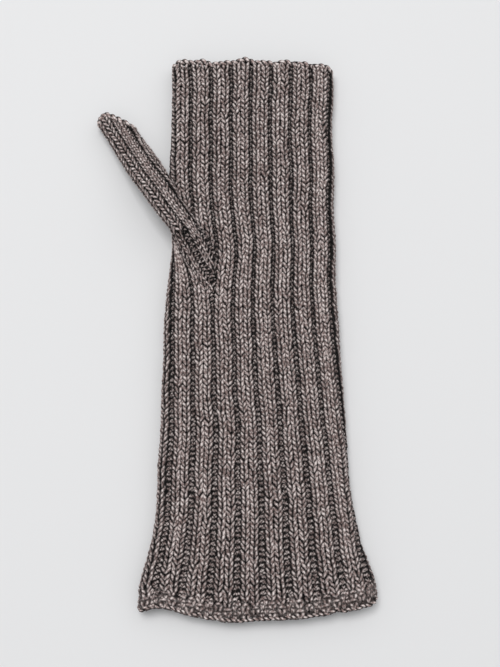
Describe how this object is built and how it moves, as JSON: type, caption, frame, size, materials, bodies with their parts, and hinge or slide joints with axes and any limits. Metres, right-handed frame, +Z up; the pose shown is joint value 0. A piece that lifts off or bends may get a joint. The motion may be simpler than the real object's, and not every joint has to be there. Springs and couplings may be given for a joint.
{
  "type": "fingerless glove",
  "caption": "Long fingerless glove in ribbed knit, lying flat: a flared tube for forearm and hand with a full thumb sleeve growing from a gusset.",
  "frame": {"origin": "on the ground under the middle of the whole glove, thumb included", "axes": "+Z up out of the front layer, +Y from the cuff towards the finger end, the thumb towards -X"},
  "size_m": [0.1441, 0.29, 0.0221],
  "materials": {
    "rib_knit": "marled taupe wool, soft matte ribbed knit",
    "edge_yarn": "marled taupe wool, soft matte edge chain"
  },
  "bodies": {
    "hand": {"wrist_rib": "rib_knit", "hand_rib": "rib_knit", "finger_end_bind_off": "edge_yarn", "thumb_gusset": "rib_knit"},
    "forearm": {"cast_on_edge": "edge_yarn", "cuff_rib": "rib_knit", "forearm_rib": "rib_knit"},
    "thumb_root": {"thumb_base": "rib_knit"},
    "thumb": {"thumb_sleeve": "rib_knit", "thumb_bind_off": "edge_yarn"}
  },
  "joints": [
    {"name": "wrist_bend", "type": "hinge", "parent": "hand", "child": "forearm", "pos_m": [0.01145, -0.034, 0.0055], "axis": [1, 0, 0], "range_deg": [-60, 60]},
    {"name": "thumb_swing", "type": "hinge", "parent": "hand", "child": "thumb_root", "pos_m": [-0.01375, 0.041, 0.0168], "axis": [0, 0, 1], "range_deg": [-3, 45]},
    {"name": "thumb_lift", "type": "hinge", "parent": "thumb_root", "child": "thumb", "pos_m": [-0.0235, 0.05493, 0.0168], "axis": [0.8191, 0.5736, 0], "range_deg": [0, 60]}
  ]
}
